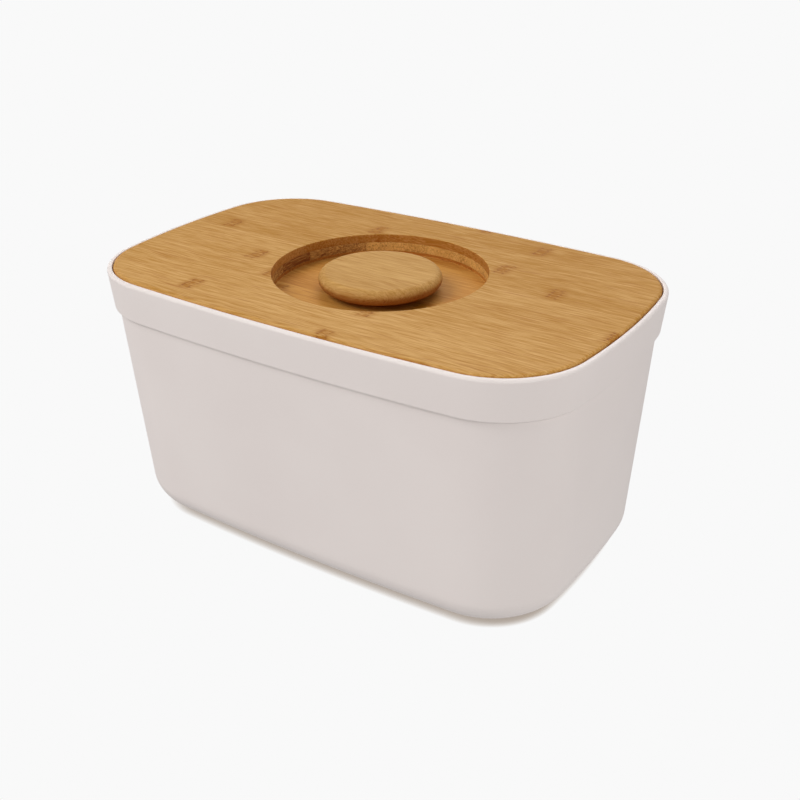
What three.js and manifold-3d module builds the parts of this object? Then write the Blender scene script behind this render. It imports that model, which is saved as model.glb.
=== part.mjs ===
// A bread bin: a moulded tub on four small feet, closed by a lift-off lid of three bamboo plies
// with a round knob standing in a sunken finger recess.
// Millimetres, +Z up. The origin is under the middle of the tub, on the surface it stands on.
// X runs along the long sides, and the lid's top grain runs along X too.

import * as THREE from 'three';
import { mergeVertices } from 'three/addons/utils/BufferGeometryUtils.js';
import Module from 'manifold-3d';

const wasm = await Module();
wasm.setup();

// ---- driving dimensions -------------------------------------------------------------------

const FOOT_HEIGHT = 2;           // how far the feet stand out below the tub
const RIM_LENGTH = 355;          // outside of the rim, along X
const RIM_WIDTH = 224;           // outside of the rim, along Y
const RIM_CORNER = 60;           // corner radius at the rim
const TUB_HEIGHT = 179;          // underside of the tub to the top of the rim
const BAND_HEIGHT = 26.5;        // the collar below the rim that surrounds the lid
const BAND_DRAFT = 2.3;          // the collar is this much smaller all round at its foot
const RIM_ROUND = 2;             // rounding of the rim's outer edge
const RIM_INNER_ROUND = 0.6;     // and of its inner edge
const STEP_IN = 2.3;             // the shoulder under the collar
const STEP_DROP = 1.6;           // height of the shoulder's sloping face
const SHOULDER_EDGE = 0.4;       // the small flat along the collar's lower edge
const END_TAPER = 6.8;           // the tub's ends lean in by this much, shoulder to base bend
const SIDE_TAPER = 9.6;          // and its long sides by this much
const BODY_CORNER = 57;          // corner radius below the shoulder
const BASE_BEND = 22;            // radius between walls and underside
const RIM_BOW = { x: 12.5, y: 8.4 };   // how far the ends and long sides bulge at the rim
const BASE_BOW = { x: 6.9, y: 5.9 };   // and at the base
const WALL = 3;                  // thickness of walls and floor

const LID_THICKNESS = 18;
const LID_PROUD = 1;             // the lid's top stands this far above the rim
const LID_MARGIN = 3.5;          // from the rim's outer edge in to the lid's edge
const LID_TAPER = 0.9;           // the lid is this much smaller all round at its underside
const LID_ROUND = 2.6;           // rounding of the lid's upper edge
const LEDGE_WIDTH = 4.1;         // the shelf inside the collar that carries the lid
const LEDGE_ROUND = 0.6;
const LID_PLAY = 0.4;            // gap between the lid's edge and the collar
const SEAT_PLAY = 0.25;          // gap between the lid's underside and the ledge

const RECESS_RADIUS = 71.1;
const RECESS_DEPTH = 14.3;       // through two plies and into the third
const RECESS_LIP = 0.4;          // rounding at the recess's upper edge
const KNOB_RADIUS = 40.7;
const KNOB_THICKNESS = 10.6;     // its edge is a full half round
const KNOB_NECK_RADIUS = 27;

const DOWEL_RADIUS = 4;
const DOWEL_SPACING = 30;        // between the two dowels that hold the knob
const DOWEL_IN_LID = 2.5;
const DOWEL_IN_KNOB = 9;
const DOWEL_PLAY = 0.15;

const FOOT_RADIUS = 8;
const FOOT_SOCKET_DEPTH = 1;
const FOOT_PLAY = 0.25;
const FOOT_INSET = 20;           // from a base corner's centre out to the foot's centre

// Facets along each kind of arc.
const LONG_SIDE_STEPS = 12;
const END_STEPS = 8;
const CORNER_STEPS = 10;
const ROUND_STEPS = 48;
const SMALL_ROUND_STEPS = 24;
const BEND_STEPS = 5;
const KNOB_EDGE_STEPS = 8;

// ---- heights ------------------------------------------------------------------------------

const underside = FOOT_HEIGHT;
const rimTop = underside + TUB_HEIGHT;
const rimEdge = rimTop - RIM_ROUND;
const shoulderTop = rimTop - BAND_HEIGHT;
const shoulderFoot = shoulderTop - STEP_DROP;
const bendTop = underside + BASE_BEND;
const lidTop = rimTop + LID_PROUD;
const lidUnder = lidTop - LID_THICKNESS;
const ledge = lidUnder - SEAT_PLAY;
const plyThickness = LID_THICKNESS / 3;
const recessFloor = lidTop - RECESS_DEPTH;

// ---- outlines -----------------------------------------------------------------------------

// An outline is a rounded rectangle with bowed sides: its half sizes, corner radius and bows.
const rim = {
  halfX: RIM_LENGTH / 2, halfY: RIM_WIDTH / 2, corner: RIM_CORNER, bowX: RIM_BOW.x, bowY: RIM_BOW.y,
};
const bodyTop = { ...inset(rim, BAND_DRAFT + STEP_IN), corner: BODY_CORNER };
const bodyBase = {
  halfX: bodyTop.halfX - END_TAPER, halfY: bodyTop.halfY - SIDE_TAPER, corner: BODY_CORNER,
  bowX: BASE_BOW.x, bowY: BASE_BOW.y,
};

function inset(outline, distance) {
  return {
    ...outline,
    halfX: outline.halfX - distance,
    halfY: outline.halfY - distance,
    corner: outline.corner - distance,
  };
}

// The outline part of the way from one to another, 0 to 1.
function between(from, to, part) {
  const mixed = {};
  for (const key of Object.keys(from)) mixed[key] = THREE.MathUtils.lerp(from[key], to[key], part);
  return mixed;
}

// The collar's outside and the lower body's outside at a height.
function collarAt(z) {
  return inset(rim, (BAND_DRAFT * (rimEdge - z)) / (rimEdge - shoulderTop));
}

function bodyAt(z) {
  return between(bodyBase, bodyTop, (z - bendTop) / (shoulderFoot - bendTop));
}

// The centre of the corner arc in the first quadrant, which touches the end's and the side's arcs.
function cornerCentre({ corner, endRadius, sideRadius, endX, sideY }) {
  const endReach = endRadius - corner;
  const sideReach = sideRadius - corner;
  const apart = Math.hypot(endX, sideY);
  const along = (apart * apart + endReach * endReach - sideReach * sideReach) / (2 * apart);
  const across = Math.sqrt(endReach * endReach - along * along);
  const dirX = -endX / apart;
  const dirY = sideY / apart;
  return new THREE.Vector2(endX + dirX * along - dirY * across, dirY * along + dirX * across);
}

// The outline's points, anticlockwise from the middle of the +X end. A quarter of it is three
// tangent arcs, and the rest is that quarter mirrored.
function outlinePoints({ halfX, halfY, corner, bowX, bowY }) {
  const endRadius = (halfY * halfY + bowX * bowX) / (2 * bowX);
  const sideRadius = (halfX * halfX + bowY * bowY) / (2 * bowY);
  const endX = halfX - endRadius;
  const sideY = halfY - sideRadius;
  const centre = cornerCentre({ corner, endRadius, sideRadius, endX, sideY });
  const endAngle = Math.atan2(centre.y, centre.x - endX);
  const sideAngle = Math.atan2(centre.y - sideY, centre.x);
  const quarter = [
    ...arcPoints([endX, 0], endRadius, 0, endAngle, END_STEPS / 2),
    ...arcPoints([centre.x, centre.y], corner, endAngle, sideAngle, CORNER_STEPS),
    ...arcPoints([0, sideY], sideRadius, sideAngle, Math.PI / 2, LONG_SIDE_STEPS / 2),
  ];
  const mirrored = quarter.slice(1).reverse().map(([x, y]) => [-x, y]);
  const half = [...quarter, [0, halfY], ...mirrored];
  return [...half, ...half.map(([x, y]) => [-x, -y])];
}

// Points along an arc, without its last one.
function arcPoints([x, y], radius, from, to, steps) {
  const curve = new THREE.EllipseCurve(x, y, radius, radius, from, to);
  return curve.getPoints(steps).slice(0, -1).map((point) => point.toArray());
}

// ---- solids -------------------------------------------------------------------------------

// A closed solid skinned over a run of outlines, each at its height, with flat ends.
function loft(levels) {
  const rings = levels.map(({ outline, z }) => outlinePoints(outline).map(([x, y]) => [x, y, z]));
  const count = rings[0].length;
  const index = [];
  for (let ring = 0; ring + 1 < rings.length; ring += 1) {
    for (let i = 0; i < count; i += 1) {
      const a = ring * count + i;
      const b = ring * count + ((i + 1) % count);
      index.push(a, b, b + count, a, b + count, a + count);
    }
  }
  const last = (rings.length - 1) * count;
  for (let i = 1; i + 1 < count; i += 1) {
    index.push(0, i + 1, i);
    index.push(last, last + i, last + i + 1);
  }
  const geometry = new THREE.BufferGeometry();
  geometry.setAttribute('position', new THREE.Float32BufferAttribute(rings.flat(2), 3));
  geometry.setIndex(index);
  return geometry;
}

// A solid of revolution about Z from [radius, z] pairs that start and end on the axis, lowest first.
function turned(profile, steps = ROUND_STEPS) {
  const points = profile.map(([radius, z]) => new THREE.Vector2(radius, z));
  return new THREE.LatheGeometry(points, steps).rotateX(Math.PI / 2);
}

function moved(geometry, x, y) {
  return geometry.clone().translate(x, y, 0);
}

// A quarter turn as [across, up] offsets, from straight across to straight up.
function quarterTurn(steps) {
  const offsets = [];
  for (let i = 0; i <= steps; i += 1) {
    const angle = (i / steps) * (Math.PI / 2);
    offsets.push([Math.cos(angle), Math.sin(angle)]);
  }
  return offsets;
}

function toManifold(geometry) {
  const bare = geometry.clone();
  bare.deleteAttribute('normal');
  bare.deleteAttribute('uv');
  const merged = mergeVertices(bare, 1e-4);
  return new wasm.Manifold(new wasm.Mesh({
    numProp: 3,
    vertProperties: new Float32Array(merged.attributes.position.array),
    triVerts: new Uint32Array(merged.index.array),
  }));
}

function cut(geometry, ...tools) {
  let solid = toManifold(geometry);
  for (const tool of tools) solid = solid.subtract(toManifold(tool));
  const mesh = solid.getMesh();
  const result = new THREE.BufferGeometry();
  result.setAttribute('position', new THREE.Float32BufferAttribute(mesh.vertProperties, 3));
  result.setIndex(Array.from(mesh.triVerts));
  return result;
}

// ---- the tub ------------------------------------------------------------------------------

function tubOutside() {
  const levels = quarterTurn(BEND_STEPS).reverse().map(([across, up]) => ({
    outline: inset(bodyBase, BASE_BEND * (1 - across)), z: bendTop - BASE_BEND * up,
  }));
  levels.push({ outline: bodyAt(shoulderFoot), z: shoulderFoot });
  levels.push({ outline: inset(collarAt(shoulderTop), SHOULDER_EDGE), z: shoulderTop - SHOULDER_EDGE });
  levels.push({ outline: collarAt(shoulderTop), z: shoulderTop });
  for (const [across, up] of quarterTurn(3)) {
    levels.push({ outline: inset(rim, RIM_ROUND * (1 - across)), z: rimEdge + RIM_ROUND * up });
  }
  return levels;
}

// The collar's inside leaves LID_PLAY around the lid's tapered edge.
function collarInsideAt(z) {
  const taper = (LID_TAPER * (rimTop - z)) / (rimTop - ledge);
  return inset(rim, LID_MARGIN - LID_PLAY + taper);
}

function tubInside() {
  const ledgeEdge = inset(collarInsideAt(ledge), LEDGE_WIDTH);
  const wallTop = inset(bodyAt(shoulderFoot), WALL);
  const innerBend = BASE_BEND - WALL;
  const innerEdge = rimTop - RIM_INNER_ROUND;
  const levels = quarterTurn(2).reverse().map(([across, up]) => ({
    outline: inset(collarInsideAt(innerEdge), -RIM_INNER_ROUND * (1 - across)),
    z: innerEdge + RIM_INNER_ROUND * up,
  }));
  levels.push({ outline: collarInsideAt(ledge), z: ledge });
  levels.push({ outline: inset(ledgeEdge, -LEDGE_ROUND), z: ledge });
  levels.push({ outline: ledgeEdge, z: ledge - LEDGE_ROUND });
  levels.push({ outline: wallTop, z: shoulderFoot });
  for (const [across, up] of quarterTurn(BEND_STEPS)) {
    levels.push({
      outline: inset(bodyBase, WALL + innerBend * (1 - across)), z: bendTop - innerBend * up,
    });
  }
  return levels;
}

// The middles of the four feet, near the corners of the flat underside.
function footPlaces() {
  const flat = inset(bodyBase, BASE_BEND);
  const x = flat.halfX - flat.corner + FOOT_INSET * Math.SQRT1_2;
  const y = flat.halfY - flat.corner + FOOT_INSET * Math.SQRT1_2;
  return {
    foot_front_left: [-x, -y],
    foot_front_right: [x, -y],
    foot_back_left: [-x, y],
    foot_back_right: [x, y],
  };
}

function tub() {
  const socketRadius = FOOT_RADIUS + FOOT_PLAY;
  const socketTop = underside + FOOT_SOCKET_DEPTH;
  const socket = turned([[0, 0], [socketRadius, 0], [socketRadius, socketTop], [0, socketTop]],
    SMALL_ROUND_STEPS);
  const sockets = Object.values(footPlaces()).map(([x, y]) => moved(socket, x, y));
  return cut(loft([...tubOutside(), ...tubInside()]), ...sockets);
}

function foot([x, y]) {
  const top = underside + FOOT_SOCKET_DEPTH - FOOT_PLAY;
  const edge = 0.5;
  const profile = [
    [0, 0], [FOOT_RADIUS - edge, 0], [FOOT_RADIUS, edge], [FOOT_RADIUS, top], [0, top],
  ];
  return moved(turned(profile, SMALL_ROUND_STEPS), x, y);
}

// ---- the lid ------------------------------------------------------------------------------

// The lid's outside at a height below its rounded upper edge.
function lidAt(z) {
  return inset(rim, LID_MARGIN + (LID_TAPER * (lidTop - z)) / LID_THICKNESS);
}

function recessTool() {
  const lipFoot = lidTop - RECESS_LIP;
  const lip = quarterTurn(3).map(([across, up]) => [
    RECESS_RADIUS + RECESS_LIP * (1 - across), lipFoot + RECESS_LIP * up,
  ]);
  const above = lidTop + 2;
  const widest = RECESS_RADIUS + RECESS_LIP;
  return turned([[0, recessFloor], [RECESS_RADIUS, recessFloor], ...lip, [widest, above], [0, above]]);
}

// A ply of the lid, numbered upwards from 0, with the recess and any other tools cut out of it.
function ply(number, ...tools) {
  const low = lidUnder + number * plyThickness;
  const high = low + plyThickness;
  const levels = [{ outline: lidAt(low), z: low }];
  if (high === lidTop) {
    const roundFoot = high - LID_ROUND;
    for (const [across, up] of quarterTurn(3)) {
      levels.push({
        outline: inset(lidAt(roundFoot), LID_ROUND * (1 - across)), z: roundFoot + LID_ROUND * up,
      });
    }
  } else {
    levels.push({ outline: lidAt(high), z: high });
  }
  return cut(loft(levels), recessTool(), ...tools);
}

const dowelPlaces = { knob_dowel_left: -DOWEL_SPACING / 2, knob_dowel_right: DOWEL_SPACING / 2 };

function dowelHole(x) {
  const low = recessFloor - DOWEL_IN_LID - DOWEL_PLAY;
  const high = recessFloor + DOWEL_IN_KNOB + DOWEL_PLAY;
  const radius = DOWEL_RADIUS + DOWEL_PLAY;
  return moved(turned([[0, low], [radius, low], [radius, high], [0, high]],
    SMALL_ROUND_STEPS), x, 0);
}

function dowel(x) {
  const low = recessFloor - DOWEL_IN_LID;
  const high = recessFloor + DOWEL_IN_KNOB;
  const edge = 0.6;
  const profile = [
    [0, low], [DOWEL_RADIUS - edge, low], [DOWEL_RADIUS, low + edge],
    [DOWEL_RADIUS, high - edge], [DOWEL_RADIUS - edge, high], [0, high],
  ];
  return moved(turned(profile, SMALL_ROUND_STEPS), x, 0);
}

function knob() {
  const edgeRadius = KNOB_THICKNESS / 2;
  const edgeCentre = lidTop - edgeRadius;
  const discUnder = lidTop - KNOB_THICKNESS;
  const cove = discUnder - recessFloor;
  const profile = [[0, recessFloor]];
  for (const [across, up] of quarterTurn(3)) {
    profile.push([KNOB_NECK_RADIUS + cove * (1 - across), recessFloor + cove * up]);
  }
  for (let i = 0; i <= KNOB_EDGE_STEPS; i += 1) {
    const angle = (i / KNOB_EDGE_STEPS - 0.5) * Math.PI;
    profile.push([
      KNOB_RADIUS - edgeRadius + edgeRadius * Math.cos(angle), edgeCentre + edgeRadius * Math.sin(angle),
    ]);
  }
  profile.push([0, lidTop]);
  return cut(turned(profile), ...Object.values(dowelPlaces).map(dowelHole));
}

// ---- the assembly -------------------------------------------------------------------------

const melamine = { color: 0xe9e0db, roughness: 0.42, metalness: 0 };
const silicone = { color: 0xbdb9b4, roughness: 0.7, metalness: 0 };
const bamboo = { color: 0xc4975a, roughness: 0.5, metalness: 0 };
const bambooCore = { color: 0xb8874c, roughness: 0.55, metalness: 0 };
const beech = { color: 0xd8bb8c, roughness: 0.6, metalness: 0 };

const breadBin = new THREE.Group();

function add(parent, name, geometry, look) {
  const mesh = new THREE.Mesh(geometry, new THREE.MeshStandardMaterial(look));
  mesh.name = name;
  parent.add(mesh);
}

const bin = new THREE.Group();
add(bin, 'tub', tub(), melamine);
for (const [name, place] of Object.entries(footPlaces())) add(bin, name, foot(place), silicone);

const lid = new THREE.Group();
add(lid, 'lid_bottom_ply', ply(0, ...Object.values(dowelPlaces).map(dowelHole)), bamboo);
add(lid, 'lid_core_ply', ply(1), bambooCore);
add(lid, 'lid_top_ply', ply(2), bamboo);
add(lid, 'knob', knob(), bamboo);
for (const [name, x] of Object.entries(dowelPlaces)) add(lid, name, dowel(x), beech);

breadBin.add(bin, lid);

export default breadBin;
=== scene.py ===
"""Looks of the bread bin: a satin tub, a three-ply bamboo lid with a sunken recess, and a turned knob.

Everything is in metres in the CAD frame: X along the long sides, Z up, the feet on z = 0.
"""
import math

import bmesh
import bpy
from mathutils import Matrix, Vector


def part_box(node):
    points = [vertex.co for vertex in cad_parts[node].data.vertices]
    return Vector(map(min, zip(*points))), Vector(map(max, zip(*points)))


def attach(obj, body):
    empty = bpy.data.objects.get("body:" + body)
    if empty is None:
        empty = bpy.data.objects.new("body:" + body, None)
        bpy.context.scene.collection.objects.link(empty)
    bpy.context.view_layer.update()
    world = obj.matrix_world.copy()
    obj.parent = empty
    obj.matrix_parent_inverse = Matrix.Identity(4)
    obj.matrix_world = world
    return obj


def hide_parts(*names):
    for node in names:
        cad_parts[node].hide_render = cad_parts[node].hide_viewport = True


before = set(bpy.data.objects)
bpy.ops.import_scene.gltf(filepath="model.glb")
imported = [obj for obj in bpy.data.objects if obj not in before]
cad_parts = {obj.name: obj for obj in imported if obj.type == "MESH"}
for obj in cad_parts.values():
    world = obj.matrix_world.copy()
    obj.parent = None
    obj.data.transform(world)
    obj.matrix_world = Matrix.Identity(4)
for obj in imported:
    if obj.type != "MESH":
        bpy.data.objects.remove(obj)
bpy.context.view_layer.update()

MM = 0.001

# ---- sizes that the frame's boxes give --------------------------------------------------------

tub_low, tub_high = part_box("tub")
top_low, top_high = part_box("lid_top_ply")
core_low, core_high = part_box("lid_core_ply")
under_low, under_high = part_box("lid_bottom_ply")
knob_low, knob_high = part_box("knob")

# ---- sizes of the tub and lid that the boxes don't give ----------------------------------------

RIM_CORNER = 60 * MM
RIM_BOW = (12.5 * MM, 8.4 * MM)
BAND_HEIGHT = 26.5 * MM
BAND_DRAFT = 2.3 * MM
RIM_ROUND = 2 * MM                # outside
RIM_INNER_ROUND = 0.6 * MM
STEP_IN = 2.3 * MM
STEP_DROP = 1.6 * MM
END_TAPER = 6.8 * MM
SIDE_TAPER = 9.6 * MM
BODY_CORNER = 57 * MM
BASE_BOW = (6.9 * MM, 5.9 * MM)
BASE_BEND = 22 * MM
WALL = 3 * MM
LID_MARGIN = 3.5 * MM
LID_TAPER = 0.9 * MM
LID_ROUND = 2.6 * MM
LID_PLAY = 0.4 * MM
LEDGE_WIDTH = 4.1 * MM
LEDGE_DROP = 0.25 * MM
RECESS_RADIUS = 71.1 * MM
RECESS_LIP = 0.4 * MM
KNOB_THICKNESS = 10.6 * MM
KNOB_NECK_RADIUS = 27 * MM

LONG_SIDE_STEPS = 32
END_STEPS = 20
CORNER_STEPS = 28


# ---- outlines ----------------------------------------------------------------------------------

class Outline:
    """A rounded rectangle with bowed sides."""

    def __init__(self, half_x, half_y, corner, bow_x, bow_y):
        self.values = (half_x, half_y, corner, bow_x, bow_y)

    def inset(self, distance):
        half_x, half_y, corner, bow_x, bow_y = self.values
        return Outline(half_x - distance, half_y - distance, corner - distance, bow_x, bow_y)

    def towards(self, other, part):
        return Outline(*(a + (b - a) * part for a, b in zip(self.values, other.values)))

    def points(self):
        half_x, half_y, corner, bow_x, bow_y = self.values
        end_radius = (half_y ** 2 + bow_x ** 2) / (2 * bow_x)
        side_radius = (half_x ** 2 + bow_y ** 2) / (2 * bow_y)
        end_x = half_x - end_radius
        side_y = half_y - side_radius
        end_reach = end_radius - corner
        side_reach = side_radius - corner
        apart = math.hypot(end_x, side_y)
        along = (apart ** 2 + end_reach ** 2 - side_reach ** 2) / (2 * apart)
        across = math.sqrt(end_reach ** 2 - along ** 2)
        centre_x = end_x - (end_x * along + side_y * across) / apart
        centre_y = (side_y * along - end_x * across) / apart
        end_angle = math.atan2(centre_y, centre_x - end_x)
        side_angle = math.atan2(centre_y - side_y, centre_x)
        quarter = [
            *arc(end_x, 0, end_radius, 0, end_angle, END_STEPS // 2),
            *arc(centre_x, centre_y, corner, end_angle, side_angle, CORNER_STEPS),
            *arc(0, side_y, side_radius, side_angle, math.pi / 2, LONG_SIDE_STEPS // 2),
        ]
        half = [*quarter, (0, half_y), *((-x, y) for x, y in reversed(quarter[1:]))]
        return [*half, *((-x, -y) for x, y in half)]


def arc(x, y, radius, start, end, steps):
    """Points along an arc, without its last one."""
    turns = (start + (end - start) * i / steps for i in range(steps))
    return [(x + radius * math.cos(t), y + radius * math.sin(t)) for t in turns]


def quarter_turn(steps):
    """(across, up) from straight across to straight up."""
    turns = (math.pi / 2 * i / steps for i in range(steps + 1))
    return [(math.cos(t), math.sin(t)) for t in turns]


rim = Outline(tub_high.x, tub_high.y, RIM_CORNER, *RIM_BOW)
body_top = rim.inset(BAND_DRAFT + STEP_IN)
body_top = Outline(*body_top.values[:2], BODY_CORNER, *RIM_BOW)
body_base = Outline(
    body_top.values[0] - END_TAPER, body_top.values[1] - SIDE_TAPER, BODY_CORNER, *BASE_BOW)


# ---- mesh helpers ------------------------------------------------------------------------------

def skin(name, rings, around=False):
    """A closed mesh over rings of points with equal counts. around joins the last ring to the first;
    otherwise both ends are closed with flat faces."""
    mesh = bmesh.new()
    rows = [[mesh.verts.new(point) for point in ring] for ring in rings]
    pairs = list(zip(rows, rows[1:] + rows[:1])) if around else list(zip(rows, rows[1:]))
    for lower, upper in pairs:
        for i in range(len(lower)):
            j = (i + 1) % len(lower)
            mesh.faces.new((lower[i], lower[j], upper[j], upper[i]))
    if not around:
        mesh.faces.new(list(reversed(rows[0])))
        mesh.faces.new(rows[-1])
    bmesh.ops.recalc_face_normals(mesh, faces=mesh.faces)
    data = bpy.data.meshes.new(name)
    mesh.to_mesh(data)
    mesh.free()
    piece = bpy.data.objects.new(name, data)
    bpy.context.scene.collection.objects.link(piece)
    return piece


def ring(outline, z):
    return [(x, y, z) for x, y in outline.points()]


def circle(radius, z, like):
    """As many points as like has, on a circle, each in the direction of its partner in like."""
    turns = [math.atan2(y, x) for x, y in like.points()]
    return [(radius * math.cos(t), radius * math.sin(t), z) for t in turns]


def turned(name, profile, steps=160):
    """A solid of revolution about Z from (radius, z) pairs, lowest first, with a flat face at each end."""
    turns = [2 * math.pi * i / steps for i in range(steps)]
    return skin(name, [[(r * math.cos(t), r * math.sin(t), z) for t in turns] for r, z in profile])


def bore(piece, low, high, radius, places, steps=48):
    """Cuts an upright round hole into the piece at each place."""
    for x, y in places:
        turns = [2 * math.pi * i / steps for i in range(steps)]
        outline = [(x + radius * math.cos(t), y + radius * math.sin(t)) for t in turns]
        rings = [[(px, py, z) for px, py in outline] for z in (low, high)]
        tool = skin(piece.name + "_tool", rings)
        cut = piece.modifiers.new("bore", "BOOLEAN")
        cut.operation, cut.solver, cut.object = "DIFFERENCE", "EXACT", tool
        bpy.context.view_layer.update()
        evaluated = piece.evaluated_get(bpy.context.evaluated_depsgraph_get())
        piece.data = bpy.data.meshes.new_from_object(evaluated)
        piece.modifiers.clear()
        bpy.data.objects.remove(tool)


def finish_piece(piece, body, node, material):
    """Smooth shading, a material, and the piece's place in the frame."""
    piece.data.materials.clear()
    piece.data.materials.append(material)
    piece.data.shade_smooth()
    piece.data.set_sharp_from_angle(angle=math.radians(40))
    normals = piece.modifiers.new("weighted_normals", "WEIGHTED_NORMAL")
    normals.keep_sharp = True
    normals.weight = 100
    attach(piece, body)
    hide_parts(node)


# ---- material helpers --------------------------------------------------------------------------

class Nodes:
    """Short calls for building a material's nodes."""

    def __init__(self, name):
        self.material = bpy.data.materials.new(name)
        self.material.use_nodes = True
        self.tree = self.material.node_tree
        self.shader = self.tree.nodes["Principled BSDF"]

    def link(self, value, socket):
        if isinstance(value, bpy.types.NodeSocket):
            self.tree.links.new(value, socket)
        elif value is not None:
            socket.default_value = value

    def math(self, operation, first, second=None, third=None):
        node = self.tree.nodes.new("ShaderNodeMath")
        node.operation = operation
        for value, socket in zip((first, second, third), node.inputs):
            self.link(value, socket)
        return node.outputs[0]

    def steps(self, value, start, end):
        """Smoothly 0 to 1 as value goes from start to end."""
        node = self.tree.nodes.new("ShaderNodeMapRange")
        node.interpolation_type = "SMOOTHSTEP"
        for socket, given in zip(node.inputs, (value, start, end, 0.0, 1.0)):
            self.link(given, socket)
        return node.outputs[0]

    def range(self, value, low, high):
        """0 to 1 turned into low to high."""
        node = self.tree.nodes.new("ShaderNodeMapRange")
        for socket, given in zip(node.inputs, (value, 0.0, 1.0, low, high)):
            self.link(given, socket)
        return node.outputs[0]

    def coordinates(self, output="Object"):
        return self.tree.nodes.new("ShaderNodeTexCoord").outputs[output]

    def split(self, vector):
        node = self.tree.nodes.new("ShaderNodeSeparateXYZ")
        self.link(vector, node.inputs[0])
        return node.outputs

    def join(self, x, y, z):
        node = self.tree.nodes.new("ShaderNodeCombineXYZ")
        for value, socket in zip((x, y, z), node.inputs):
            self.link(value, socket)
        return node.outputs[0]

    def noise(self, vector, scale, detail=2.0, roughness=0.5):
        node = self.tree.nodes.new("ShaderNodeTexNoise")
        self.link(vector, node.inputs["Vector"])
        node.inputs["Scale"].default_value = scale
        node.inputs["Detail"].default_value = detail
        node.inputs["Roughness"].default_value = roughness
        return node.outputs["Fac"]

    def random(self, value):
        """A steady random number from 0 to 1 for each value."""
        node = self.tree.nodes.new("ShaderNodeTexWhiteNoise")
        node.noise_dimensions = "1D"
        self.link(value, node.inputs["W"])
        return node.outputs["Value"]

    def mix(self, part, first, second, blend="MIX"):
        node = self.tree.nodes.new("ShaderNodeMix")
        node.data_type = "RGBA"
        node.blend_type = blend
        self.link(part, node.inputs[0])
        self.link(rgba(first), node.inputs[6])
        self.link(rgba(second), node.inputs[7])
        return node.outputs[2]

    def ramp(self, value, stops, interpolation="LINEAR"):
        node = self.tree.nodes.new("ShaderNodeValToRGB")
        node.color_ramp.interpolation = interpolation
        elements = node.color_ramp.elements
        while len(elements) < len(stops):
            elements.new(1.0)
        for element, (place, shade) in zip(elements, stops):
            element.position = place
            element.color = rgba(shade)
        self.link(value, node.inputs[0])
        return node.outputs[0]

    def bump(self, height, strength, distance, under=None):
        node = self.tree.nodes.new("ShaderNodeBump")
        node.inputs["Strength"].default_value = strength
        node.inputs["Distance"].default_value = distance
        self.link(height, node.inputs["Height"])
        self.link(under, node.inputs["Normal"])
        return node.outputs[0]


def rgba(shade):
    """A colour for a socket: a socket as it is, a number as grey, a triple with full alpha."""
    if isinstance(shade, bpy.types.NodeSocket):
        return shade
    if isinstance(shade, (int, float)):
        return (shade, shade, shade, 1.0)
    return (*shade, 1.0) if len(shade) == 3 else shade


# ---- materials ---------------------------------------------------------------------------------

def melamine():
    """Satin moulding: a faint mottle, slightly uneven gloss and a very fine skin."""
    n = Nodes("melamine")
    place = n.coordinates()
    mottle = n.noise(place, 9, detail=3)
    speck = n.noise(place, 700, detail=2)
    shade = n.mix(n.steps(mottle, 0.3, 0.7), (0.845, 0.762, 0.728), (0.870, 0.790, 0.755))
    shade = n.mix(n.math("MULTIPLY", n.steps(speck, 0.45, 0.75), 0.05), shade, (0.76, 0.68, 0.64))
    n.link(shade, n.shader.inputs["Base Color"])
    cloud = n.noise(place, 35, detail=4)
    n.link(n.range(cloud, 0.40, 0.52), n.shader.inputs["Roughness"])
    n.shader.inputs["Specular IOR Level"].default_value = 0.4
    wave = n.bump(n.noise(place, 55, detail=1), 0.25, 0.12 * MM)
    n.link(n.bump(speck, 0.12, 0.05 * MM, wave), n.shader.inputs["Normal"])
    return n.material


STRIP = 21.5 * MM                 # width of a bamboo strip
STRIP_START = -117.0 * MM         # where the first strip of the top ply begins, across the grain
KNUCKLE_SPACING = 260 * MM        # along the grain, between a strip's knuckles
KNUCKLE_WOBBLE = 9 * MM           # how far a knuckle's outline wanders along the grain
KNUCKLE_RIDGE = 3 * MM            # from a knuckle's middle to each of its two ridges
KNUCKLE_FADE = (1.0 * MM, 9.5 * MM)    # from its middle to where it starts to fade and where it ends
KNUCKLE_RANGE = 300               # mm either side of the middle that a strip's table entry can hold
KNUCKLE_STAIN = (0.37, 0.135, 0.004)
RIDGE_STAIN = (0.26, 0.080, 0.008)
# For each strip of the top ply, front to back: where its knuckle is along the grain (mm) and how
# light the strip is, 0 to 1. The tones differ from strip to strip as the wood does. The front strips are
# also set lighter than the back ones as painted light.
TOP_STRIPS = [
    (31, 0.60), (-87, 0.62), (34, 0.58), (-56, 0.50), (-87, 0.45), (200, 0.58),
    (115, 0.24), (68, 0.36), (-46, 0.28), (73, 0.25), (20, 0.34),
]
# The same for the bottom ply, out of sight but for the recess floor.
PLAIN_STRIPS = [(40 + 97 * i % 260 - 130, 0.3 + 0.17 * (i * 5 % 4)) for i in range(11)]


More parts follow.
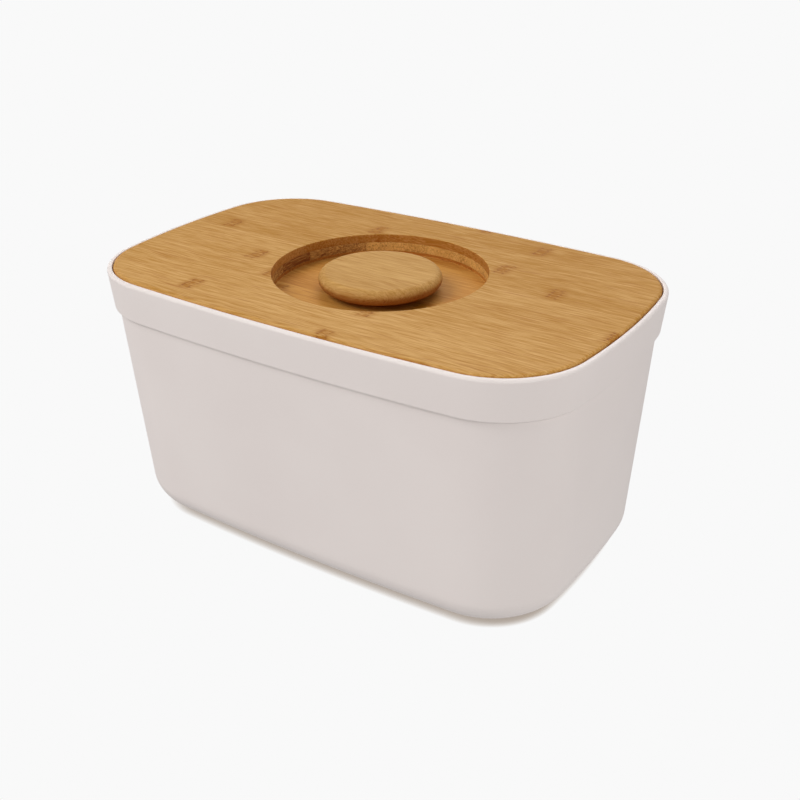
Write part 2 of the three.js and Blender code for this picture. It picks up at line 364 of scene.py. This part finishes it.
def bamboo(name, across, start, strips, light, dark, edge_and_shade_tint=(0.88, 0.73, 0.64),
           edge_shade_turn=(0.75, 0.15), knuckles=1.0):
    """Glued bamboo strips. across is the axis number across the grain in the board, start the place of
    the first strip's edge, strips their knuckles and tones, light and dark the two ends of the tone,
    edge_and_shade_tint what edges and undersides are multiplied by, partly for the cut wood's deeper tone
    and partly as painted shade, edge_shade_turn the upward part of a face's normal where that tint starts
    and where it is full, knuckles how strong the strips' knuckles are."""
    n = Nodes(name)
    place = n.split(n.coordinates())
    facing = n.split(n.coordinates("Normal"))
    along = 1 - across
    u, v, w = place[along], place[across], place[2]

    count = n.math("FLOOR", n.math("DIVIDE", n.math("SUBTRACT", v, start), STRIP))
    inside = n.math("FRACT", n.math("DIVIDE", n.math("SUBTRACT", v, start), STRIP))
    pick = n.math("DIVIDE", n.math("ADD", count, 0.5), len(strips))
    reach = KNUCKLE_RANGE
    table = [
        (i / len(strips), ((x + reach) / (2 * reach), tone, 0.0)) for i, (x, tone) in enumerate(strips)]
    chosen = n.tree.nodes.new("ShaderNodeSeparateColor")
    n.link(n.ramp(pick, table, "CONSTANT"), chosen.inputs[0])
    knuckle_at = n.math("MULTIPLY_ADD", chosen.outputs[0], 2 * reach * MM, -reach * MM)
    tone = chosen.outputs[1]
    lot = n.random(n.math("ADD", count, 3.7))

    # Each strip's fibres are its own stretch of one long grain.
    shifted = n.math("ADD", u, n.math("MULTIPLY", lot, 3.0))
    side = n.math("ADD", v, n.math("MULTIPLY", lot, 0.9))
    sway = n.noise(n.join(shifted, n.math("MULTIPLY", side, 0.4), 0.0), 16, detail=1)
    side = n.math("MULTIPLY_ADD", n.math("SUBTRACT", sway, 0.5), 7 * MM, side)

    def grain(stretch, scale, detail=2.0, roughness=0.6, offset=0.0):
        """Noise drawn out along the grain: 1 / scale metres across, 1 / stretch times that along."""
        spot = n.join(n.math("MULTIPLY", shifted, stretch), n.math("ADD", side, offset), w)
        return n.noise(spot, scale, detail, roughness)

    fine = grain(0.055, 1150, detail=3, roughness=0.65)
    fibre = grain(0.05, 560, detail=3, roughness=0.65)
    streak = grain(0.08, 150, detail=3)
    cloud = grain(0.4, 26, detail=2, roughness=0.5)

    level = n.math("MULTIPLY_ADD", n.math("SUBTRACT", tone, 0.5), 0.9, 0.5)
    for pattern, weight in ((fine, 2.1), (fibre, 1.35), (streak, 0.55), (cloud, 0.50)):
        level = n.math("MULTIPLY_ADD", n.math("SUBTRACT", pattern, 0.5), weight, level)
    level = n.math("MINIMUM", n.math("MAXIMUM", level, 0.0), 1.0)
    shade = n.mix(level, dark, light)

    # Scattered darker, redder fibres, and a few pale ones.
    brown = tuple(c * k for c, k in zip(dark, (0.80, 0.58, 0.40)))
    pale = tuple(c * k for c, k in zip(light, (1.06, 1.10, 1.20)))
    vein = grain(0.045, 760, detail=1, offset=0.37)
    shade = n.mix(n.math("MULTIPLY", n.steps(vein, 0.60, 0.74), 0.50), shade, brown)
    shade = n.mix(n.math("MULTIPLY", n.steps(vein, 0.38, 0.24), 0.45), shade, pale)

    # The glued edge of each strip.
    edge = n.math("MINIMUM", inside, n.math("SUBTRACT", 1.0, inside))
    seam = n.math("SUBTRACT", 1.0, n.steps(edge, 0.002, 0.018))
    shade = n.mix(n.math("MULTIPLY", seam, 0.20), shade, brown)

    # Knuckles: short orange brown dashes over most of the strip's width, with two broken ridges.
    half = KNUCKLE_SPACING / 2
    wobble = n.noise(n.join(n.math("MULTIPLY", lot, 5.0), v, w), 230, detail=2)
    past = n.math("SUBTRACT", u, knuckle_at)
    turn = n.math("MULTIPLY_ADD", n.math("SUBTRACT", wobble, 0.5), KNUCKLE_WOBBLE, past)
    turn = n.math("SUBTRACT", n.math("FLOORED_MODULO", n.math("ADD", turn, half), KNUCKLE_SPACING), half)
    apart = n.math("ABSOLUTE", turn)
    strip_part = n.steps(edge, 0.02, 0.20)
    dash = grain(0.22, 560, detail=3, roughness=0.7)
    patch = n.math("SUBTRACT", 1.0, n.steps(apart, *KNUCKLE_FADE))
    patch = n.math("MULTIPLY", n.math("MULTIPLY", patch, strip_part), n.steps(dash, 0.32, 0.56))
    off_ridge = n.math("ABSOLUTE", n.math("SUBTRACT", apart, KNUCKLE_RIDGE))
    ridge = n.math("SUBTRACT", 1.0, n.steps(off_ridge, 0.2 * MM, 1.3 * MM))
    ridge = n.math("MULTIPLY", n.math("MULTIPLY", ridge, strip_part), n.steps(dash, 0.42, 0.60))
    shade = n.mix(n.math("MULTIPLY", patch, 0.92 * knuckles), shade, KNUCKLE_STAIN)
    shade = n.mix(n.math("MULTIPLY", ridge, 0.72 * knuckles), shade, RIDGE_STAIN)

    # Upright edges and undersides are deeper in colour: partly the cut wood's own tone, partly painted
    # shade by the direction a face points in. Edges that cross the grain show fibre ends.
    upright = n.steps(facing[2], *edge_shade_turn)
    end = n.math("POWER", n.math("ABSOLUTE", facing[along]), 2.0)
    dots = n.noise(n.join(n.math("MULTIPLY", u, 0.1), v, w), 1900, detail=1)
    dots = n.math("MULTIPLY", n.math("MULTIPLY", end, n.steps(dots, 0.45, 0.64)), 0.17)
    # Painted shade: faces that turn sideways or down are multiplied by the tint.
    shade = n.mix(upright, shade, n.mix(1.0, shade, edge_and_shade_tint, "MULTIPLY"))
    shade = n.mix(dots, shade, n.mix(1.0, shade, (0.40, 0.32, 0.28), "MULTIPLY"))

    n.link(shade, n.shader.inputs["Base Color"])
    n.link(n.range(fibre, 0.66, 0.50), n.shader.inputs["Roughness"])
    n.shader.inputs["Specular IOR Level"].default_value = 0.16
    height = n.math("MULTIPLY_ADD", fine, 0.6, n.math("MULTIPLY_ADD", seam, -0.7, fibre))
    n.link(n.bump(height, 0.5, 0.06 * MM), n.shader.inputs["Normal"])
    return n.material


def silicone():
    n = Nodes("silicone")
    place = n.coordinates()
    dust = n.noise(place, 900, detail=3)
    n.link(n.mix(dust, (0.50, 0.48, 0.46), (0.60, 0.58, 0.56)), n.shader.inputs["Base Color"])
    n.link(n.range(dust, 0.6, 0.75), n.shader.inputs["Roughness"])
    n.link(n.bump(dust, 0.3, 0.05 * MM), n.shader.inputs["Normal"])
    return n.material


FLOOR_BOUNCE = 0.52               # how much of the floor's light reaches the object
FLOOR_SHADE = (0.947, 0.947, 0.947)


def floor_look(tilt, reach):
    """A pale floor whose light is even but for a painted shadow: the soft dark line, drawn from ambient
    occlusion, where something nearly touches it.

    tilt leans that line to one side, and reach is how wide it is. Only the camera sees the line: the
    light that the floor sends up to the object is even."""
    n = Nodes("pale_floor")
    shade = n.tree.nodes.new("ShaderNodeAmbientOcclusion")
    shade.samples = 16
    shade.inputs["Distance"].default_value = reach
    shade.inputs["Color"].default_value = (1, 1, 1, 1)
    n.link(n.join(*tilt), shade.inputs["Normal"])
    glow = n.tree.nodes.new("ShaderNodeEmission")
    # Painted shadow: the floor's colour darkened where ambient occlusion finds something near.
    line = n.ramp(shade.outputs["AO"], [
        (0.0, (0.28, 0.23, 0.19)), (0.50, (0.47, 0.41, 0.36)),
        (0.82, (0.79, 0.76, 0.735)), (0.98, FLOOR_SHADE)])
    seen = n.tree.nodes.new("ShaderNodeLightPath").outputs["Is Camera Ray"]
    n.link(n.mix(seen, FLOOR_SHADE, line), glow.inputs[0])
    n.link(n.range(seen, FLOOR_BOUNCE, 1.0), glow.inputs["Strength"])
    output = n.tree.nodes["Material Output"]
    n.tree.links.new(glow.outputs[0], output.inputs["Surface"])
    return n.material


# ---- the tub -----------------------------------------------------------------------------------

underside = tub_low.z
rim_top = tub_high.z
rim_edge = rim_top - RIM_ROUND
shoulder_top = rim_top - BAND_HEIGHT
shoulder_foot = shoulder_top - STEP_DROP
bend_top = underside + BASE_BEND
ledge = under_low.z - LEDGE_DROP


def collar_at(z):
    return rim.inset(BAND_DRAFT * (rim_edge - z) / (rim_edge - shoulder_top))


def body_at(z):
    return body_base.towards(body_top, (z - bend_top) / (shoulder_foot - bend_top))


def collar_inside_at(z):
    return rim.inset(LID_MARGIN - LID_PLAY + LID_TAPER * (rim_top - z) / (rim_top - ledge))


def spread(low, high, count):
    """count heights strictly between low and high, in order."""
    return [low + (high - low) * (i + 1) / (count + 1) for i in range(count)]


def build_tub():
    rings = []
    flat = body_base.inset(BASE_BEND)
    for part in (0.25, 0.5, 0.75, 0.9):
        rings.append([(x * part, y * part, underside) for x, y in flat.points()])
    for across, up in reversed(quarter_turn(14)):
        rings.append(ring(body_base.inset(BASE_BEND * (1 - across)), bend_top - BASE_BEND * up))
    for z in spread(bend_top, shoulder_foot - 1.2 * MM, 8):
        rings.append(ring(body_at(z), z))

    # The shoulder: a small hollow bend, a slope and a rounded edge.
    hollow = 0.9 * MM
    edge = 0.7 * MM
    slope = 0.35 * MM
    wall_end = shoulder_foot - hollow
    for across, up in reversed(quarter_turn(5)):
        rings.append(ring(body_at(wall_end).inset(-hollow * (1 - up)), wall_end + hollow * across))
    lip = collar_at(shoulder_top + edge)
    for across, up in reversed(quarter_turn(6)):
        rings.append(ring(lip.inset(edge * (1 - across)), shoulder_top + edge * (1 - up) - slope * up))
    for z in spread(shoulder_top + edge, rim_edge, 4):
        rings.append(ring(collar_at(z), z))
    for across, up in quarter_turn(7):
        rings.append(ring(rim.inset(RIM_ROUND * (1 - across)), rim_edge + RIM_ROUND * up))

    inner_edge = rim_top - RIM_INNER_ROUND
    inner_rim = collar_inside_at(inner_edge)
    for across, up in reversed(quarter_turn(5)):
        bend = RIM_INNER_ROUND * (1 - across)
        rings.append(ring(inner_rim.inset(-bend), inner_edge + RIM_INNER_ROUND * up))
    for z in reversed(spread(ledge, inner_edge, 3)):
        rings.append(ring(collar_inside_at(z), z))
    seat = collar_inside_at(ledge)
    small = 0.6 * MM
    for across, up in quarter_turn(4):
        rings.append(ring(seat.inset(small * (1 - across)), ledge + small * (1 - up)))
    brink = seat.inset(LEDGE_WIDTH)
    for across, up in reversed(quarter_turn(4)):
        rings.append(ring(brink.inset(-small * (1 - across)), ledge - small * (1 - up)))
    inside_top = body_at(shoulder_foot).inset(WALL)
    for part in (0.5, 1.0):
        z = ledge - small + (shoulder_foot - ledge + small) * part
        rings.append(ring(brink.towards(inside_top, part), z))
    inside_base = body_base.inset(WALL)
    for z in reversed(spread(bend_top, shoulder_foot, 6)):
        rings.append(ring(inside_base.towards(inside_top, (z - bend_top) / (shoulder_foot - bend_top)), z))
    bend = BASE_BEND - WALL
    for across, up in quarter_turn(12):
        rings.append(ring(inside_base.inset(bend * (1 - across)), bend_top - bend * up))
    floor = inside_base.inset(bend)
    for part in (0.9, 0.75, 0.5, 0.25):
        rings.append([(x * part, y * part, underside + WALL) for x, y in floor.points()])
    return skin("tub_shell", rings)


FOOT_NODES = ("foot_front_left", "foot_front_right", "foot_back_left", "foot_back_right")
FOOT_PLAY = 0.25 * MM


def foot_place(node):
    low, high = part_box(node)
    return (low + high) / 2, (high.x - low.x) / 2


def build_foot(node, material):
    centre, radius = foot_place(node)
    low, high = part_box(node)
    dome = 0.8 * MM
    profile = [(radius * part, low.z) for part in (0.3, 0.6)]
    for across, up in reversed(quarter_turn(6)):
        profile.append((radius - dome + dome * across, low.z + dome * (1 - up)))
    profile += [(radius, high.z - 0.3 * MM), (radius - 0.3 * MM, high.z), (radius * 0.4, high.z)]
    piece = turned(node + "_pad", profile, steps=64)
    piece.data.transform(Matrix.Translation((centre.x, centre.y, 0)))
    finish_piece(piece, "bin", node, material)


tub = build_tub()
sockets = [foot_place(node) for node in FOOT_NODES]
socket_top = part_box(FOOT_NODES[0])[1].z + FOOT_PLAY
bore(tub, underside - 1 * MM, socket_top, sockets[0][1] + FOOT_PLAY, [(c.x, c.y) for c, _ in sockets])
finish_piece(tub, "bin", "tub", melamine())
pad_look = silicone()
for foot_node in FOOT_NODES:
    build_foot(foot_node, pad_look)


# ---- the lid -----------------------------------------------------------------------------------

lid_top = top_high.z
recess_floor = knob_low.z
GLUE_EDGE = 0.12 * MM             # the fine line where two plies meet at a cut edge


def lid_at(z):
    return rim.inset(LID_MARGIN + LID_TAPER * (lid_top - z) / (lid_top - under_low.z))


def ply_outside(low, high, rounded_under=False, rounded_top=False):
    """The outer edge's rings, upwards, with a fine bevel at each glued edge."""
    rings = []
    if rounded_under:
        radius = 1.0 * MM
        for across, up in reversed(quarter_turn(5)):
            rings.append(ring(lid_at(low + radius).inset(radius * (1 - across)), low + radius * (1 - up)))
    else:
        rings.append(ring(lid_at(low).inset(GLUE_EDGE), low))
        rings.append(ring(lid_at(low + GLUE_EDGE), low + GLUE_EDGE))
    if rounded_top:
        foot = high - LID_ROUND
        for across, up in quarter_turn(8):
            rings.append(ring(lid_at(foot).inset(LID_ROUND * (1 - across)), foot + LID_ROUND * up))
    else:
        rings.append(ring(lid_at(high - GLUE_EDGE), high - GLUE_EDGE))
        rings.append(ring(lid_at(high).inset(GLUE_EDGE), high))
    return rings


def flat_between(outline, inset, radius, z, parts=(0.35, 0.7)):
    """Rings on one level between an outline and a circle, going inwards."""
    outer = ring(outline.inset(inset), z)
    inner = circle(radius, z, outline)
    return [[tuple(a + (b - a) * p for a, b in zip(o, i)) for o, i in zip(outer, inner)] for p in parts]


def build_ring_ply(name, low, high, rounded_top):
    outside = ply_outside(low, high, rounded_top=rounded_top)
    like = lid_at(high)
    rings = list(outside)
    top_inset = LID_ROUND if rounded_top else GLUE_EDGE
    rings += flat_between(like, top_inset, RECESS_RADIUS, high, parts=(0.02, 0.35, 0.7, 0.97))
    if rounded_top:
        foot = high - RECESS_LIP
        for across, up in reversed(quarter_turn(6)):
            rings.append(circle(RECESS_RADIUS + RECESS_LIP * (1 - across), foot + RECESS_LIP * up, like))
    else:
        rings.append(circle(RECESS_RADIUS + GLUE_EDGE, high, like))
        rings.append(circle(RECESS_RADIUS, high - GLUE_EDGE, like))
    rings.append(circle(RECESS_RADIUS, low + GLUE_EDGE, like))
    rings.append(circle(RECESS_RADIUS + GLUE_EDGE, low, like))
    rings += reversed(flat_between(lid_at(low), GLUE_EDGE, RECESS_RADIUS, low))
    return skin(name, rings, around=True)


def build_bottom_ply():
    low, high = under_low.z, under_high.z
    outline = lid_at(low)
    rings = [[(x * part, y * part, low) for x, y in outline.points()] for part in (0.15, 0.4, 0.7, 0.95)]
    rings += ply_outside(low, high, rounded_under=True)
    rings += flat_between(lid_at(high), GLUE_EDGE, RECESS_RADIUS, high)
    fillet = 0.5 * MM
    rings.append(circle(RECESS_RADIUS + GLUE_EDGE, high, outline))
    rings.append(circle(RECESS_RADIUS, high - GLUE_EDGE, outline))
    for across, up in quarter_turn(4):
        radius = RECESS_RADIUS - fillet * (1 - across)
        rings.append(circle(radius, recess_floor + fillet * (1 - up), outline))
    for part in (0.97, 0.8, 0.6, 0.4, 0.15):
        rings.append(circle(RECESS_RADIUS * part, recess_floor, outline))
    return skin("lid_bottom_board", rings)


def build_knob():
    radius = knob_high.x
    edge = KNOB_THICKNESS / 2
    middle = lid_top - edge
    cove = lid_top - KNOB_THICKNESS - recess_floor
    profile = [(KNOB_NECK_RADIUS * part, recess_floor) for part in (0.3, 0.7)]
    for across, up in quarter_turn(8):
        profile.append((KNOB_NECK_RADIUS + cove * (1 - across), recess_floor + cove * up))
    for part in (0.3, 0.9):
        start = KNOB_NECK_RADIUS + cove
        profile.append((start + (radius - edge - start) * part, lid_top - KNOB_THICKNESS))
    for i in range(25):
        turn = math.pi * (i / 24 - 0.5)
        profile.append((radius - edge + edge * math.cos(turn), middle + edge * math.sin(turn)))
    profile += [((radius - edge) * part, lid_top) for part in (0.98, 0.7, 0.35, 0.1)]
    return turned("knob_turned", profile)


DOWEL_NODES = ("knob_dowel_left", "knob_dowel_right")
DOWEL_PLAY = 0.15 * MM


def dowel_place(node):
    low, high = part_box(node)
    return (low + high) / 2, (high.x - low.x) / 2


def build_dowel(node, material):
    centre, radius = dowel_place(node)
    low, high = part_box(node)
    edge = 0.6 * MM
    profile = [
        (radius * 0.4, low.z), (radius - edge, low.z), (radius, low.z + edge),
        (radius, high.z - edge), (radius - edge, high.z), (radius * 0.4, high.z),
    ]
    piece = turned(node + "_pin", profile, steps=48)
    piece.data.transform(Matrix.Translation((centre.x, centre.y, 0)))
    finish_piece(piece, "lid", node, material)


HONEY = (0.650, 0.370, 0.122)
CARAMEL = (0.425, 0.188, 0.018)
# The core's strips run across the lid and differ more: one is dark.
CORE_STRIP_START = -198.5 * MM
CORE_TONES = (0.4, 0.7, 0.5, 0.4, 0.6, 0.0, 0.42, 0.95, 0.9, 1.0, 0.85, 0.9, 0.6, 0.5, 0.6, 0.4, 0.7, 0.5)

top_look = bamboo("bamboo_top", 1, STRIP_START, TOP_STRIPS, HONEY, CARAMEL)
core_look = bamboo(
    "bamboo_core", 0, CORE_STRIP_START, [(70, tone) for tone in CORE_TONES],
    (0.78, 0.44, 0.125), (0.26, 0.085, 0.018), edge_and_shade_tint=(1, 1, 1), knuckles=0.3)
under_look = bamboo(
    "bamboo_bottom", 1, -110 * MM, PLAIN_STRIPS, (0.63, 0.310, 0.066), (0.46, 0.18, 0.026))
# The knob's strong tint is painted shade: its rounded edge and lower side are darkened by the direction
# they face.
knob_look = bamboo(
    "bamboo_knob", 1, -52 * MM, [(200, 0.62), (-190, 0.5), (170, 0.66), (210, 0.56), (190, 0.6)],
    (0.61, 0.350, 0.110), (0.43, 0.205, 0.038), edge_and_shade_tint=(0.66, 0.50, 0.38),
    edge_shade_turn=(0.42, -0.15))
dowel_look = bamboo(
    "dowel_wood", 1, -60 * MM, [(200, 0.5)] * 6, (0.72, 0.53, 0.30), (0.58, 0.40, 0.20),
    edge_and_shade_tint=(1, 1, 1), knuckles=0.0)

top_ply = build_ring_ply("lid_top_board", top_low.z, top_high.z, rounded_top=True)
finish_piece(top_ply, "lid", "lid_top_ply", top_look)
core_ply = build_ring_ply("lid_core_board", core_low.z, core_high.z, rounded_top=False)
finish_piece(core_ply, "lid", "lid_core_ply", core_look)

dowels = [dowel_place(node) for node in DOWEL_NODES]
dowel_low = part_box(DOWEL_NODES[0])[0].z - DOWEL_PLAY
dowel_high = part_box(DOWEL_NODES[0])[1].z + DOWEL_PLAY
dowel_spots = [(c.x, c.y) for c, _ in dowels]
bottom_ply = build_bottom_ply()
bore(bottom_ply, dowel_low, recess_floor + 1 * MM, dowels[0][1] + DOWEL_PLAY, dowel_spots)
finish_piece(bottom_ply, "lid", "lid_bottom_ply", under_look)
knob = build_knob()
bore(knob, recess_floor - 1 * MM, dowel_high, dowels[0][1] + DOWEL_PLAY, dowel_spots)
finish_piece(knob, "lid", "knob", knob_look)
for dowel_node in DOWEL_NODES:
    build_dowel(dowel_node, dowel_look)


# ---- floor, light and camera -------------------------------------------------------------------

FLOOR_SIZE = 24.0


def add_floor():
    data = bpy.data.meshes.new("floor")
    half = FLOOR_SIZE / 2
    corners = [(-half, -half, 0), (half, -half, 0), (half, half, 0), (-half, half, 0)]
    data.from_pydata(corners, [], [(0, 1, 2, 3)])
    floor = bpy.data.objects.new("floor", data)
    bpy.context.scene.collection.objects.link(floor)
    data.materials.append(floor_look(tilt=(-0.62, 0.0, 0.80), reach=6 * MM))


def add_softbox(name, place, target, size, power):
    data = bpy.data.lights.new(name, "AREA")
    data.shape = "RECTANGLE"
    data.size, data.size_y = size
    data.energy = power
    light = bpy.data.objects.new(name, data)
    bpy.context.scene.collection.objects.link(light)
    light.location = place
    light.rotation_mode = "QUATERNION"
    light.rotation_quaternion = (Vector(target) - Vector(place)).to_track_quat("-Z", "Y")


def add_world(overhead, horizon):
    """Light from all round: a pale band above the horizon that darkens into the studio's ceiling."""
    world = bpy.data.worlds.new("studio")
    world.use_nodes = True
    tree = world.node_tree
    split = tree.nodes.new("ShaderNodeSeparateXYZ")
    tree.links.new(tree.nodes.new("ShaderNodeTexCoord").outputs["Generated"], split.inputs[0])
    ramp = tree.nodes.new("ShaderNodeValToRGB")
    tree.links.new(split.outputs[2], ramp.inputs[0])
    for element, place, level in zip(ramp.color_ramp.elements, (0.03, 0.10), (horizon, overhead)):
        element.position = place
        element.color = (level, level, level, 1)
    tree.links.new(ramp.outputs[0], tree.nodes["Background"].inputs["Color"])
    bpy.context.scene.world = world


CAMERA_LENS = 50.32               # mm, on a sensor 36 mm wide
CAMERA_PLACE = (0.3892, -0.5689, 0.4393)
CAMERA_TARGET = (0.1118, -0.1471, 0.1806)
CAMERA_ROLL = -0.19               # degrees


def add_camera():
    data = bpy.data.cameras.new("camera")
    data.sensor_width = 36
    data.lens = CAMERA_LENS
    data.dof.use_dof = False
    camera = bpy.data.objects.new("camera", data)
    bpy.context.scene.collection.objects.link(camera)
    place = Vector(CAMERA_PLACE)
    target = Vector(CAMERA_TARGET)
    camera.location = place
    camera.rotation_mode = "QUATERNION"
    level = (target - place).to_track_quat("-Z", "Y")
    camera.rotation_quaternion = level @ Matrix.Rotation(math.radians(CAMERA_ROLL), 3, "Z").to_quaternion()
    bpy.context.scene.camera = camera


add_floor()
add_world(overhead=0.44, horizon=0.9)
add_softbox("key", (-1.0, 3.0, 3.7), (0, 0, 0.15), (3.4, 3.4), 84)
add_softbox("front_fill", (-1.8, -2.6, 3.3), (0, 0, 0.15), (2.5, 2.5), 88)
add_softbox("left_card", (-1.2, -1.0, 0.35), (-0.05, -0.1, 0.1), (0.8, 0.6), 2.4)
add_softbox("right_card", (1.3, -0.35, 0.3), (0.17, 0, 0.1), (0.7, 0.5), 4.1)
add_camera()
bpy.context.scene.view_settings.view_transform = "Standard"

bpy.context.view_layer.update()
